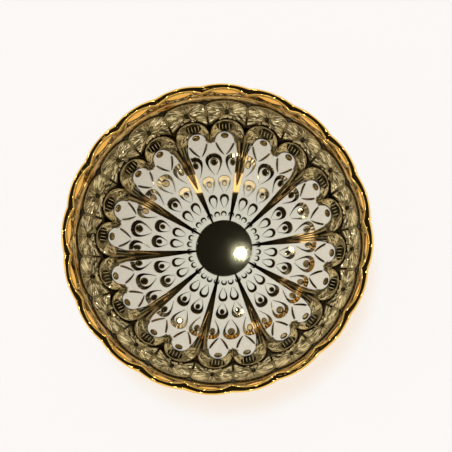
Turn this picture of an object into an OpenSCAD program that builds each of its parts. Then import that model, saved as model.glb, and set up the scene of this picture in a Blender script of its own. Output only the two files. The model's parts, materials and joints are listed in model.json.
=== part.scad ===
// Small porcelain bowl, gilded inside, with a scalloped lip and a peacock feather ornament.
// It stands on its foot ring: +Z is up and the origin is the centre of the resting face.
// Places on the inner wall are given by two angles: t climbs the wall from the middle of
// the floor (0) to the level of the lip (90), and phi goes round from the middle of a panel.

/* [Bowl] */
// Diameter over the outermost points of the scalloped lip
rim_d = 120; // [100:1:150]
// Height from the resting face to the top of the lip
bowl_h = 56; // [48:1:75]
// Thickness of the porcelain wall
wall_t = 2.4; // [1.8:0.1:3.5]
// Thickness of the porcelain in the middle of the floor
floor_t = 4.2; // [3:0.1:7]

/* [Foot ring] */
// Outer diameter of the resting face
foot_d = 50; // [40:1:60]
// Width of the resting face
foot_w = 3.6; // [2.5:0.1:6]
// Height of the hollow under the middle of the floor
foot_h = 4.8; // [3:0.1:8]
// Widening of the ring on each side, from the resting face up to the bowl
foot_flare = 1; // [0.2:0.1:2]
// Bevel along both edges of the resting face
foot_bevel = 0.5; // [0.2:0.1:1]

/* [Gilded rim] */
// Height of the gilded rim
rim_h = 9; // [7:0.5:11]
// Thickness of the rounded lip
lip_t = 2.9; // [2.2:0.1:3.6]
// Depth of the scallops on the outside of the lip
scallop_out = 0.75; // [0.2:0.05:1.2]
// Depth of the scallops on the inside of the lip
scallop_in = 1.8; // [0.4:0.05:2.4]

/* [Layers] */
// Thickness of the gold lining
gold_t = 0.2; // [0.1:0.05:0.4]
// Thickness of the white enamel panels on the gold
enamel_t = 0.35; // [0.2:0.05:0.6]
// Height of the gold feathers on the enamel
relief_t = 0.3; // [0.15:0.05:0.6]
// Height of the feather scales on the gold
scale_t = 0.5; // [0.3:0.05:0.8]

/* [Medallion] */
// Diameter of the mirror in the middle of the floor
medallion_d = 22.4; // [18:0.1:26]
// Thickness of the mirror at its edge
medallion_t = 0.4; // [0.2:0.05:0.8]
// Extra height of the mirror at its middle
medallion_dome = 0.3; // [0:0.05:0.6]
// Bare gold between the mirror and the panels
medallion_gap = 0.3; // [0.2:0.1:1.2]

/* [Panels] */
// Number of white panels, each with two columns of feathers
panels = 10; // [8:1:12]
// Width of the gold wedge between two panels, at its inner end
wedge_in = 0.7; // [0.4:0.1:1.4]
// Widening of that wedge for each millimetre away from the axis
wedge_taper = 0.14; // [0.08:0.01:0.17]
// Place up the wall of the shoulders of a panel, in degrees
shoulder_angle = 46.8; // [45:0.1:48]
// Rise of the two feather tips above the shoulders, in degrees up the wall
tip_rise_angle = 5.5; // [4:0.1:6.5]

/* [Feather rows] */
// Low and high end of the small horseshoes, in degrees up the wall
small_angles = [13.1, 15.5]; // [12:0.1:18]
// Low and high end of the horseshoes, in degrees up the wall
horseshoe_angles = [16.3, 22.7]; // [15:0.1:24]
// Low and high end of the lower eye feathers, in degrees up the wall
lower_angles = [22.9, 30.9]; // [20:0.1:34]
// Low and high end of the middle eye feathers, in degrees up the wall
middle_angles = [30.6, 41.4]; // [28:0.1:44]
// Low end of the stems of the tip feathers, in degrees up the wall
tip_stem_angle = 40.4; // [38:0.1:42]
// Half width of each feather row from the small horseshoes to the tips, as shares of a column
feather_half = [0.26, 0.29, 0.3, 0.31, 0.3]; // [0.2:0.01:0.34]
// Distance of each of those rows from the panel's middle, as shares of a column
feather_place = [0.31, 0.37, 0.38, 0.74, 0.42]; // [0.2:0.01:0.8]
// Thickness of the crowns from the small horseshoes to the middle eyes, in degrees up the wall
feather_crown_angles = [0.8, 1.3, 2.2, 2.1]; // [0.4:0.1:2.5]
// Thickness of the legs of a feather, as a share of its half width
feather_leg = 0.3; // [0.1:0.01:0.4]
// Thickness of the lines along the stems of the tips, as a share of a tip's half width
stem_leg = 0.42; // [0.2:0.01:0.5]
// Half height of the lower, middle and tip eyes, in degrees up the wall
eye_rise_angles = [1.3, 1.9, 1.5]; // [0.8:0.1:2.2]
// Half width of the lower, middle and tip eyes, in degrees round the bowl
eye_half_angles = [2.2, 2.6, 2.05]; // [1.2:0.05:2.8]
// Shift to the panel's middle, and loss of half width, of the eyes in the feathers at its edges
edge_eye_angle = 0.65; // [0.5:0.05:1]
// Bare enamel above an eye, in degrees up the wall
eye_gap_angle = 0.15; // [0.1:0.05:0.6]

/* [Scales] */
// Place up the wall of the feet of the inner scales, in degrees
inner_foot_angle = 51; // [49:0.1:53]
// Place up the wall of the tops of the inner scales, in degrees
inner_top_angle = 60; // [58:0.1:61]
// Place up the wall of the low ends of the pointed arches, in degrees
arch_foot_angle = 57; // [56:0.1:59.5]
// Place up the wall of the points of the arches, in degrees
arch_point_angle = 66.4; // [64:0.1:68]
// Place up the wall of the notches between the outer scales, in degrees
outer_notch_angle = 70.4; // [69:0.1:71.5]
// Place up the wall of the tops of the outer scales, in degrees
outer_top_angle = 75; // [73.5:0.1:76]
// Curve of the sides of the pointed arches: 1 is straight, and less bends them inwards
arch_bow = 0.6; // [0.6:0.05:1.2]
// Bare gold between neighbouring scales, in degrees round the bowl
scale_gap_angle = 0.6; // [0.4:0.1:1]

/* [Hidden] */
// Depth of the inside, and the half axes of the inner and the outer wall curves
depth = bowl_h - foot_h - floor_t;
inner_r = rim_d / 2 - wall_t;
outer_r = inner_r + wall_t;
outer_depth = depth + floor_t;
seat_z = bowl_h - rim_h;
// Heights of the layers above the porcelain
enamel_top = gold_t + enamel_t;
relief_top = enamel_top + relief_t;
scale_top = gold_t + scale_t;
// Angles between panels and between feather columns
panel_pitch = 360 / panels;
column_pitch = panel_pitch / 2;
// Places where pieces meet, as angles up the wall
medallion_angle = asin(medallion_d / 2 / inner_r);
panel_foot_angle = asin((medallion_d / 2 + medallion_gap) / inner_r);
foot_out_angle = asin((foot_d / 2 + foot_flare) / outer_r);
foot_in_angle = asin((foot_d / 2 - foot_w - foot_flare) / outer_r);
// Numbers of straight steps along the curves
wall_steps = 20;
floor_steps = 4;
under_steps = 14;
scale_steps = 12;
feather_steps = 10;
stem_steps = 6;
dot_steps = 10;
tip_steps = 28;
scallop_steps = 8;
lip_steps = 8;
wall_step = (seat_angle(0) - medallion_angle) / wall_steps;
// Angles at which the rounded lip leaves the inside and the outside of the rim
lip_in_angle = 215;
lip_out_angle = -35;
// Open angle at the low end of the small horseshoes, of the feathers with a tail and of the stems
small_open_angle = 45;
tail_open_angle = 32;
stem_open_angle = 18;
// Drop angle at which the feathers at a panel's edges end, just past their crowns
edge_reach_angle = 188;
// Reach of a cutting prism to each side of the wall
stamp_reach = 2.5;
$fn = 160;

panel_names = [for (i = [1:panels]) str("white_panel_", i < 10 ? "0" : "", i)];

// Curves of the wall, as radius and height: h is the height of a layer above the porcelain
function wall(t, h) = [(inner_r - h) * sin(t), bowl_h - (depth - h) * cos(t)];
function outside(t) = [outer_r * sin(t), bowl_h - outer_depth * cos(t)];
function slope(t, h) = atan2((depth - h) * sin(t), (inner_r - h) * cos(t));
function seat_angle(h) = acos(rim_h / (depth - h));
function spread(from, to, count) = [for (i = [0:count]) from + (to - from) * i / count];
function wall_angles(first, last) = [for (k = [first:last]) medallion_angle + k * wall_step];
function floor_angles() = spread(0, medallion_angle, floor_steps);
function after_first(list) = [for (i = [1:len(list) - 1]) list[i]];
function reversed(list) = [for (i = [len(list) - 1:-1:0]) list[i]];
function mirrored(outline) = reversed([for (p = outline) [p[0], -p[1]]]);

// A place on a layer, drawn flat in the plane that touches the layer at the angle at
function flat_point(p, at, h) =
    let (q = wall(p[0], h), c = wall(at, h), s = slope(at, h))
    [(q[0] * cos(p[1]) - c[0]) * cos(s) + (q[1] - c[1]) * sin(s), q[0] * sin(p[1])];

// A ring of one layer, wide enough for the angles low to high up the wall
module layer(low, high, h0, h1) {
    angles = wall_angles(floor((low - medallion_angle) / wall_step),
                         ceil((high - medallion_angle) / wall_step));
    rotate([0, 0, -panel_pitch / 2])
        rotate_extrude(angle = panel_pitch)
            polygon(concat([for (t = angles) wall(t, h0)],
                           [for (t = reversed(angles)) wall(t, h1)]));
}

// A plate on the wall with the given outline of (t, phi) points, cut square to the wall
module inlay(outline, turn, h0, h1) {
    low = min([for (p = outline) p[0]]);
    high = max([for (p = outline) p[0]]);
    at = (low + high) / 2;
    foot = wall(at, h0);
    rotate([0, 0, turn])
        intersection() {
            layer(low, high, h0, h1);
            translate([foot[0], 0, foot[1]])
                rotate([0, -slope(at, h0), 0])
                    linear_extrude(2 * stamp_reach, center = true)
                        polygon([for (p = outline) flat_point(p, at, h0)]);
        }
}

// A point on a drop shape: tail 0 is an ellipse, and larger values draw the low end to a tip
function drop_width(tail) = 2 * pow((tail + 1) / (tail + 2), (tail + 1) / 2) / sqrt(tail + 2);
function drop(s, span, half, tail) =
    [(span[0] + span[1]) / 2 - (span[1] - span[0]) / 2 * cos(s),
     half * sin(s) * pow(sin(s / 2), tail) / drop_width(tail)];

// The stretch of a crescent between two drop angles: crown and leg are its thickness in degrees
function crescent(span, half, tail, crown, leg, from, to, steps) = concat(
    [for (s = spread(from, to, steps)) drop(s, span, half, tail)],
    [for (s = spread(to, from, steps)) drop(s, [span[0], span[1] - crown], half - leg, tail)]);
// The outline of an eye that hangs just below the given top
function eye_dot(top, rise, half) = [for (i = [1:dot_steps])
    let (s = i * 360 / dot_steps)
    [top - eye_gap_angle - rise + rise * cos(s), half * sin(s)]];
// Half width, place and crescent of one feather row
function row_half(row) = feather_half[row] * column_pitch;
function row_place(row) = feather_place[row] * column_pitch;
function row_crescent(row, span, tail, open, to) =
    crescent(span, row_half(row), tail, feather_crown_angles[row], feather_leg * row_half(row),
             open, to, feather_steps);

// One copy of the children on every panel
module each_panel() {
    for (i = [0:panels - 1])
        rotate([0, 0, i * panel_pitch]) children();
}

// The upper edge of a panel: two rounded feather tips between low shoulders
tip_angle = shoulder_angle + tip_rise_angle;
tip_half = row_half(4);
tip_place = row_place(4);
function panel_top(phi) = shoulder_angle
    + tip_rise_angle * sqrt(max(0, 1 - pow((abs(phi) - tip_place) / tip_half, 2)));
function panel_edge(t) =
    let (r = wall(t, gold_t)[0], start = wall(panel_foot_angle, gold_t)[0])
    panel_pitch / 2 - asin((wedge_in + wedge_taper * (r - start)) / 2 / r);
panel_outline =
    let (side = panel_edge(shoulder_angle), foot = panel_edge(panel_foot_angle))
    concat([for (phi = spread(-foot, foot, floor_steps)) [panel_foot_angle, phi]],
           [for (phi = spread(side, -side, tip_steps)) [panel_top(phi), phi]]);

// Porcelain bowl with a flat seat for the rim
module bowl_body() {
    inside = concat(floor_angles(), wall_angles(1, wall_steps));
    under = concat(spread(0, foot_in_angle, floor_steps),
                   after_first(spread(foot_in_angle, foot_out_angle, floor_steps)),
                   after_first(spread(foot_out_angle, acos(rim_h / outer_depth), under_steps)));
    color("white")
        rotate_extrude()
            polygon(concat([for (t = inside) wall(t, 0)], [for (t = reversed(under)) outside(t)]));
}

// Foot ring under the bowl, with its lower edges bevelled
module foot_ring() {
    out = foot_d / 2;
    in = foot_d / 2 - foot_w;
    color("gainsboro")
        rotate_extrude()
            polygon(concat(
                [[in + foot_bevel, 0], [out - foot_bevel, 0], [out, foot_bevel]],
                [for (t = spread(foot_out_angle, foot_in_angle, floor_steps)) outside(t)],
                [[in, foot_bevel]]));
}

// The rim's section at one place round the lip, as radius, height: wave is 1 at the
// outermost point of a scallop and -1 in the notch between two scallops
function rim_section(wave) =
    let (in_seat = wall(seat_angle(gold_t), gold_t),
         out_seat = outer_r * sin(acos(rim_h / outer_depth)),
         lip_z = bowl_h - lip_t / 2,
         lip_r = rim_d / 2 - lip_t / 2 - scallop_out / 2)
    concat(
        [[in_seat[0], seat_z]],
        [for (rise = [1 / 3, 2 / 3])
            let (z = seat_z + rise * (lip_z - lip_t / 2 - seat_z),
                 r = wall(acos((bowl_h - z) / (depth - gold_t)), gold_t)[0])
            [r + wave * scallop_in / 2 * rise * rise, z]],
        [for (a = spread(lip_in_angle, lip_out_angle, lip_steps))
            let (bend = (1 + cos(a)) / 2,
                 depth_here = scallop_in + (scallop_out - scallop_in) * bend)
            [lip_r + lip_t / 2 * cos(a) + wave * depth_here / 2, lip_z + lip_t / 2 * sin(a)]],
        [[(out_seat + lip_r + lip_t / 2 * cos(lip_out_angle)) / 2 + wave * scallop_out / 4,
          (seat_z + lip_z - lip_t / 2) / 2]],
        [[out_seat, seat_z]]);
function scallop_wave(a) = 1 - 2 * pow(((a % column_pitch) * 2 / column_pitch) - 1, 2);

// Gilded rim: one section swept round the bowl while its lip follows the scallops
module gilt_rim() {
    count = 2 * panels * scallop_steps;
    sections = [for (i = [0:count - 1]) rim_section(scallop_wave(i * 360 / count))];
    size = len(sections[0]);
    points = [for (i = [0:count - 1], p = sections[i])
        let (a = i * 360 / count) [p[0] * cos(a), p[0] * sin(a), p[1]]];
    faces = [for (i = [0:count - 1], j = [0:size - 1])
        let (next = (i + 1) % count, up = (j + 1) % size)
        [i * size + j, i * size + up, next * size + up, next * size + j]];
    color("goldenrod")
        polyhedron(points, faces);
}

// Gold film on the inner wall, from the mirror's edge to the rim
module gold_lining() {
    lower = wall_angles(0, wall_steps);
    upper = concat(wall_angles(0, wall_steps - 1), [seat_angle(gold_t)]);
    color("darkgoldenrod")
        rotate_extrude()
            polygon(concat([for (t = lower) wall(t, 0)],
                           [for (t = reversed(upper)) wall(t, gold_t)]));
}

// Mirror in the middle of the floor, with a slightly domed face
module centre_medallion() {
    angles = floor_angles();
    color("black")
        rotate_extrude()
            polygon(concat(
                [for (t = angles) wall(t, 0)],
                [for (t = reversed(angles))
                    wall(t, medallion_t + medallion_dome * (1 - pow(t / medallion_angle, 2)))]));
}

// One white enamel panel
module white_panel(i) {
    color("ghostwhite")
        inlay(panel_outline, (i - 1) * panel_pitch, gold_t, enamel_top);
}

// Outer scales: rounded tops above pointed arches, one on each scallop
module outer_scales() {
    half = column_pitch / 2 - scale_gap_angle / 2;
    arch_rise = arch_point_angle - arch_foot_angle;
    top_rise = outer_top_angle - outer_notch_angle;
    outline = concat(
        [for (phi = spread(-half, half, scale_steps))
            [arch_point_angle - arch_rise * pow(abs(phi) / half, arch_bow), phi]],
        [for (phi = spread(half, -half, scale_steps))
            [outer_notch_angle + top_rise * sqrt(1 - pow(phi / half, 2)), phi]]);
    color("darkkhaki")
        for (i = [0:2 * panels - 1])
            inlay(outline, (i + 0.5) * column_pitch, gold_t, scale_top);
}

// Inner scales: rounded plates that frame the tips of the white panels
module inner_scales() {
    half = column_pitch / 2 - scale_gap_angle;
    middle = column_pitch / 2;
    top_rise = inner_top_angle - inner_foot_angle;
    outline = concat(
        [for (phi = spread(-half, half, scale_steps))
            [panel_top(middle + phi) + scale_gap_angle, phi]],
        [for (phi = spread(half, -half, scale_steps))
            [inner_foot_angle + top_rise * sqrt(1 - pow(phi / half, 2)), phi]]);
    color("darkkhaki")
        for (i = [0:panels - 1]) {
            inlay(outline, i * panel_pitch + middle, gold_t, scale_top);
            inlay(mirrored(outline), i * panel_pitch - middle, gold_t, scale_top);
        }
}

// Tip feathers: an eye in each tip of a panel, with a curved line on each side of its stem
module tip_feathers() {
    middle = (tip_stem_angle + tip_angle) / 2;
    reach = acos((middle - shoulder_angle + eye_gap_angle) / (tip_angle - middle));
    stem = crescent([tip_stem_angle, tip_angle], tip_half, 1, 0, stem_leg * tip_half,
                    stem_open_angle, reach, stem_steps);
    eye = eye_dot(tip_angle - eye_gap_angle, eye_rise_angles[2], eye_half_angles[2]);
    color("goldenrod")
        each_panel()
            for (side = [-1, 1]) {
                inlay(eye, side * tip_place, enamel_top, relief_top);
                inlay(stem, side * tip_place, enamel_top, relief_top);
                inlay(mirrored(stem), side * tip_place, enamel_top, relief_top);
            }
}

// Middle eyes: one whole eye feather up the panel's middle, and one cut short at each edge
module middle_eyes() {
    whole = row_crescent(3, middle_angles, 1, tail_open_angle, 360 - tail_open_angle);
    part = row_crescent(3, middle_angles, 1, tail_open_angle, edge_reach_angle);
    top = middle_angles[1] - feather_crown_angles[3];
    eye = eye_dot(top, eye_rise_angles[1], eye_half_angles[1]);
    edge_eye = eye_dot(top, eye_rise_angles[1], eye_half_angles[1] - edge_eye_angle);
    color("goldenrod")
        each_panel() {
            inlay(whole, 0, enamel_top, relief_top);
            inlay(eye, 0, enamel_top, relief_top);
            inlay(mirrored(part), row_place(3), enamel_top, relief_top);
            inlay(part, -row_place(3), enamel_top, relief_top);
            for (side = [-1, 1])
                inlay(edge_eye, side * (row_place(3) - edge_eye_angle), enamel_top, relief_top);
        }
}

// Lower eyes: a feather with an eye in each column
module lower_eyes() {
    feather = row_crescent(2, lower_angles, 1, tail_open_angle, 360 - tail_open_angle);
    eye = eye_dot(lower_angles[1] - feather_crown_angles[2], eye_rise_angles[0],
                  eye_half_angles[0]);
    color("goldenrod")
        each_panel()
            for (side = [-1, 1]) {
                inlay(feather, side * row_place(2), enamel_top, relief_top);
                inlay(eye, side * row_place(2), enamel_top, relief_top);
            }
}

// Horseshoes: a plain crescent in each column
module horseshoe_row() {
    feather = row_crescent(1, horseshoe_angles, 1, tail_open_angle, 360 - tail_open_angle);
    color("goldenrod")
        each_panel()
            for (side = [-1, 1])
                inlay(feather, side * row_place(1), enamel_top, relief_top);
}

// Small horseshoes next to the mirror: two on each panel, and one cut in two by each wedge
module small_horseshoe_row() {
    wedge_half = panel_pitch / 2 - panel_edge(small_angles[1]);
    reach = 180 - asin((wedge_half + eye_gap_angle) / row_half(0));
    feather = row_crescent(0, small_angles, 0, small_open_angle, 360 - small_open_angle);
    part = row_crescent(0, small_angles, 0, small_open_angle, reach);
    color("goldenrod")
        each_panel() {
            for (side = [-1, 1])
                inlay(feather, side * row_place(0), enamel_top, relief_top);
            inlay(mirrored(part), panel_pitch / 2, enamel_top, relief_top);
            inlay(part, -panel_pitch / 2, enamel_top, relief_top);
        }
}

bowl_body();
foot_ring();
gilt_rim();
gold_lining();
centre_medallion();
for (i = [1:panels])
    white_panel(i);
outer_scales();
inner_scales();
tip_feathers();
middle_eyes();
lower_eyes();
horseshoe_row();
small_horseshoe_row();
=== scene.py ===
# Gilded porcelain bowl with feather panels: smooth pieces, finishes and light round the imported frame
import json
import math
import random

import bmesh
import bpy
from mathutils import Matrix, Vector

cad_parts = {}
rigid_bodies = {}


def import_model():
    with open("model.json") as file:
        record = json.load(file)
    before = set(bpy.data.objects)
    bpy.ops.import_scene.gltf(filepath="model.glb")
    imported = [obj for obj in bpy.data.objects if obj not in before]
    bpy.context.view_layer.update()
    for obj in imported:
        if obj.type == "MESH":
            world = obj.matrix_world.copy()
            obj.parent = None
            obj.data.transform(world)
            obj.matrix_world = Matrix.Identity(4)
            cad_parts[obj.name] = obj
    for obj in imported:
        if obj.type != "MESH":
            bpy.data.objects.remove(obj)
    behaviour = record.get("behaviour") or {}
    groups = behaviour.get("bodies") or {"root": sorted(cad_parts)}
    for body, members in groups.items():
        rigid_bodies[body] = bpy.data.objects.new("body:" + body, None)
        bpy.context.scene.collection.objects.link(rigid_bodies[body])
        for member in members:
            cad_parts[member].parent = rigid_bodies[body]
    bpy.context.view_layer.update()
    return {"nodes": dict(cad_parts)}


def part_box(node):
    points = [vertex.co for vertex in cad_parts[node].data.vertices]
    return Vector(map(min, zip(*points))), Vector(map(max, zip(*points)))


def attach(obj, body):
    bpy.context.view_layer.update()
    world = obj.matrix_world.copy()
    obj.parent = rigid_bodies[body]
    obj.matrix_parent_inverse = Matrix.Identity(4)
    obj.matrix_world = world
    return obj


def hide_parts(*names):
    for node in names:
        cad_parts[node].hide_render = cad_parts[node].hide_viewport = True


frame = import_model()
print("frame loaded:", len(frame["nodes"]), "nodes")

mm = 0.001
deg = math.pi / 180

# The wall is part of an ellipse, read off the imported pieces
rimBox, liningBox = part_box("gilt_rim"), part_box("gold_lining")
mirrorBox, bodyBox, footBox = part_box("centre_medallion"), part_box("bowl_body"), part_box("foot_ring")
lipTop, seatZ = rimBox[1].z, rimBox[0].z
rimHeight = lipTop - seatZ
wallDepth = lipTop - mirrorBox[0].z
wallRadius = liningBox[1].x / math.sqrt(1 - (rimHeight / wallDepth) ** 2)
outerDepth = lipTop - bodyBox[0].z
outerRadius = bodyBox[1].x / math.sqrt(1 - (rimHeight / outerDepth) ** 2)

# Heights above the porcelain
goldTop, enamelTop, scaleTop, reliefTop = 0.2 * mm, 0.55 * mm, 0.7 * mm, 0.85 * mm
panelCount = 10
panelPitch = 360 / panelCount
columnPitch = panelPitch / 2
scallopCount = 2 * panelCount


def sine(angle):
    return math.sin(angle * deg)


def cosine(angle):
    return math.cos(angle * deg)


def wallPoint(t, h=0):  # radius and height on the inner wall, t in degrees up the wall
    return (wallRadius - h) * sine(t), lipTop - (wallDepth - h) * cosine(t)


def outsidePoint(t):
    return outerRadius * sine(t), lipTop - outerDepth * cosine(t)


def climbAt(z, depth):  # degrees up a wall of this depth, at height z
    return math.acos((lipTop - z) / depth) / deg


def climbOut(r, radius):  # the same at a distance r from the axis
    return math.asin(r / radius) / deg


def spread(first, last, count):
    return [first + (last - first) * i / count for i in range(count + 1)]


def mixed(a, b, share):
    return a + (b - a) * share


# Node helpers for shader and geometry trees

def feed(node, inputs):  # sockets or plain values, by an input's name or number
    for name, value in inputs.items():
        if isinstance(value, bpy.types.NodeSocket):
            node.id_data.links.new(value, node.inputs[name])
        else:
            node.inputs[name].default_value = value


def addNode(tree, kind, inputs=None, **settings):
    node = tree.nodes.new(kind)
    for name, value in settings.items():
        setattr(node, name, value)
    feed(node, inputs or {})
    return node


def nextNode(socket, kind, inputs, **settings):  # in the tree of a socket that it is fed from
    return addNode(socket.id_data, kind, inputs, **settings).outputs


def mathNode(operation, *values):
    return nextNode(values[0], "ShaderNodeMath", dict(enumerate(values)), operation=operation)[0]


def splitPlace(place):
    return nextNode(place, "ShaderNodeSeparateXYZ", {0: place})


def openTree(name, inputs):
    tree = bpy.data.node_groups.new(name, "GeometryNodeTree")
    tree.interface.new_socket("Geometry", in_out="INPUT", socket_type="NodeSocketGeometry")
    for label, kind in inputs:
        tree.interface.new_socket(label, in_out="INPUT", socket_type="NodeSocket" + kind)
    tree.interface.new_socket("Geometry", in_out="OUTPUT", socket_type="NodeSocketGeometry")
    return tree, tree.nodes.new("NodeGroupInput").outputs, tree.nodes.new("NodeGroupOutput")


def closeTree(geometry, material, end):  # every tree ends in Realize Instances and Set Material
    whole = nextNode(geometry, "GeometryNodeRealizeInstances", {0: geometry})[0]
    painted = nextNode(whole, "GeometryNodeSetMaterial", {"Geometry": whole, "Material": material})[0]
    feed(end, {0: painted})


def setRound(geometry, radius, turn, height):  # moves points to a radius, an angle and a height
    x, y = (mathNode("MULTIPLY", radius, mathNode(way, turn)) for way in ("COSINE", "SINE"))
    place = nextNode(x, "ShaderNodeCombineXYZ", {0: x, 1: y, 2: height})[0]
    return nextNode(x, "GeometryNodeSetPosition", {"Geometry": geometry, "Position": place})[0]


def flatPlaces(geometry):  # keeps the flat place as an attribute that materials can read
    spot = addNode(geometry.id_data, "GeometryNodeInputPosition").outputs[0]
    kept = nextNode(spot, "GeometryNodeStoreNamedAttribute",
                    {"Geometry": geometry, "Name": "flatPlace", "Value": spot},
                    data_type="FLOAT_VECTOR", domain="POINT")
    return kept[0], splitPlace(spot)


def sideSquared(turn, scallops):  # 0 in the middle of a scallop, 1 at both its ends
    share = mathNode("FRACT", mathNode("MULTIPLY", turn, scallops))
    side = mathNode("MULTIPLY_ADD", share, 2.0, -1.0)
    return mathNode("MULTIPLY", side, side)


# Lays a flat drawing (x up the wall, y round it, both in degrees, z above it) on the wall
# and repeats it round the bowl
def makeDrapeTree():
    tree, start, end = openTree("drapeOnWall", [
        ("Wall radius", "Float"), ("Wall depth", "Float"), ("Lip height", "Float"),
        ("Copies", "Int"), ("Pitch", "Float"), ("Material", "Material")])
    kept, flat = flatPlaces(start["Geometry"])
    climb = mathNode("RADIANS", flat[0])
    radius, fall = (
        mathNode("MULTIPLY", mathNode("SUBTRACT", start[reach], flat[2]), mathNode(way, climb))
        for reach, way in (("Wall radius", "SINE"), ("Wall depth", "COSINE")))
    draped = setRound(kept, radius, mathNode("RADIANS", flat[1]),
                      mathNode("SUBTRACT", start["Lip height"], fall))
    spots = addNode(tree, "GeometryNodeMeshLine", {"Offset": (0, 0, 0), "Count": start["Copies"]}).outputs[0]
    index = addNode(tree, "GeometryNodeInputIndex").outputs[0]
    step = mathNode("RADIANS", mathNode("MULTIPLY", index, start["Pitch"]))
    euler = nextNode(step, "ShaderNodeCombineXYZ", {2: step})[0]
    rotation = nextNode(euler, "FunctionNodeEulerToRotation", {0: euler})[0]
    copies = nextNode(spots, "GeometryNodeInstanceOnPoints",
                      {"Points": spots, "Instance": draped, "Rotation": rotation})
    closeTree(copies[0], start["Material"], end)
    return tree


weldDistance = 0.001 * mm


# Turns a flat sheet (x share of a turn, y radius, z height) into a ring round the axis, whose
# radius follows the scallops as far as each point's attribute scallopDepth says
def makeTurnTree():
    tree, start, end = openTree("turnOnAxis", [("Scallops", "Float"), ("Material", "Material")])
    kept, flat = flatPlaces(start["Geometry"])
    depth = addNode(tree, "GeometryNodeInputNamedAttribute", {"Name": "scallopDepth"}, data_type="FLOAT")
    wave = mathNode("MULTIPLY_ADD", sideSquared(flat[0], start["Scallops"]), -2.0, 1.0)
    turned = setRound(kept, mathNode("MULTIPLY_ADD", wave, depth.outputs[0], flat[1]),
                      mathNode("MULTIPLY", flat[0], 2 * math.pi), flat[2])
    weld = nextNode(turned, "GeometryNodeMergeByDistance", {"Geometry": turned, "Distance": weldDistance})
    closeTree(weld[0], start["Material"], end)
    return tree


drapeTree = makeDrapeTree()
turnTree = makeTurnTree()
print("node trees built")


# Pieces

def newFlat():
    return {"verts": [], "faces": [], "depths": [], "tones": []}


def addPart(flat, verts, faces, tones=None):  # tones run from 0, dark, to 1, pale; on the gold they are painted reflections and glints
    first = len(flat["verts"])
    flat["verts"] += verts
    flat["tones"] += tones or [0.5] * len(verts)
    flat["faces"] += [[first + i for i in face] for face in faces]


def loopFaces(count, steps):  # squares between closed loops of count points, each joined to the next
    return [(i * count + j, i * count + (j + 1) % count,
             (i + 1) * count + (j + 1) % count, (i + 1) * count + j)
            for i in range(steps) for j in range(count)]


def addToScene(name, data):
    thing = bpy.data.objects.new(name, data)
    bpy.context.scene.collection.objects.link(thing)
    return thing


def makePiece(name, flat, tree, values, material, nodes=(), smooth=True):
    mesh = bpy.data.meshes.new(name)
    mesh.from_pydata(flat["verts"], [], flat["faces"])
    mesh.polygons.foreach_set("use_smooth", [smooth] * len(mesh.polygons))
    for label, numbers in (("scallopDepth", flat["depths"]), ("tone", flat["tones"])):
        if numbers:
            mesh.attributes.new(label, "FLOAT", "POINT").data.foreach_set("value", numbers)
    piece = addToScene(name, mesh)
    modifier = piece.modifiers.new("shape", "NODES")
    modifier.node_group = tree
    wanted = dict(values, Material=material)
    for item in tree.interface.items_tree:
        if item.item_type == "SOCKET" and item.in_out == "INPUT" and item.name in wanted:
            modifier[item.identifier] = wanted[item.name]
    shaped = piece.evaluated_get(bpy.context.evaluated_depsgraph_get())
    piece.data = bpy.data.meshes.new_from_object(shaped)
    piece.modifiers.clear()
    bpy.data.meshes.remove(mesh)
    piece.data.name = name
    work = bmesh.new()
    work.from_mesh(piece.data)
    bmesh.ops.recalc_face_normals(work, faces=work.faces)
    work.to_mesh(piece.data)
    work.free()
    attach(piece, "root")
    if nodes:
        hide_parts(*nodes)
    print("made", name, len(piece.data.polygons), "faces")


def drapePiece(name, flat, material, nodes=(), smooth=True):
    values = {"Wall radius": wallRadius, "Wall depth": wallDepth, "Lip height": lipTop,
              "Copies": panelCount, "Pitch": panelPitch}
    makePiece(name, flat, drapeTree, values, material, nodes, smooth)


# A closed section of (radius, height, scallop depth) points, turned round the axis
def turnPiece(name, section, steps, scallops, material, nodes):
    flat = newFlat()
    shares = spread(0, 1, steps)
    verts = [(share, r, z) for share in shares for r, z, depth in section]
    addPart(flat, verts, loopFaces(len(section), steps))
    flat["depths"] = [depth for share in shares for r, z, depth in section]
    makePiece(name, flat, turnTree, {"Scallops": float(scallops)}, material, nodes)


def turnPlain(name, points, steps, material, nodes):
    turnPiece(name, [(r, z, 0.0) for r, z in points], steps, 1, material, nodes)


# Materials

def newMaterial(name):
    material = bpy.data.materials.new(name)
    material.use_nodes = True
    place = addNode(material.node_tree, "ShaderNodeTexCoord").outputs["Object"]
    return material, material.node_tree.nodes["Principled BSDF"], place


def noiseNode(place, scale, detail=3.0, rough=0.55):
    return nextNode(place, "ShaderNodeTexNoise", {
        "Vector": place, "Scale": scale, "Detail": detail, "Roughness": rough})[0]


def rampNode(value, stops):
    node = addNode(value.id_data, "ShaderNodeValToRGB", {0: value})
    ramp = node.color_ramp
    while len(ramp.elements) < len(stops):
        ramp.elements.new(0.5)
    for element, (place, colour) in zip(ramp.elements, stops):
        element.position = place
        element.color = (*colour, 1)
    return node.outputs[0]


def rangeNode(value, low, high, fromLow=0.3, fromHigh=0.7):
    return nextNode(value, "ShaderNodeMapRange", {
        "Value": value, "From Min": fromLow, "From Max": fromHigh, "To Min": low, "To Max": high})[0]


def bumpNode(height, strength, distance):
    return nextNode(height, "ShaderNodeBump", {
        "Height": height, "Strength": strength, "Distance": distance})[0]


def mixNode(amount, colour, other):
    return nextNode(amount, "ShaderNodeMix", {0: amount, 6: colour, 7: other}, data_type="RGBA")[2]


def cloudColour(place, look, detail=3.0):
    cloud = noiseNode(place, look["cloudScale"], detail)
    return rampNode(cloud, [(0.3, look["deep"]), (0.7, look["pale"])])


def cloudShift(place, look):
    return rangeNode(noiseNode(place, look["cloudScale"]), -look["cloud"], look["cloud"])


def readNode(place, name):
    return addNode(place.id_data, "ShaderNodeAttribute", attribute_name=name).outputs


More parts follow.
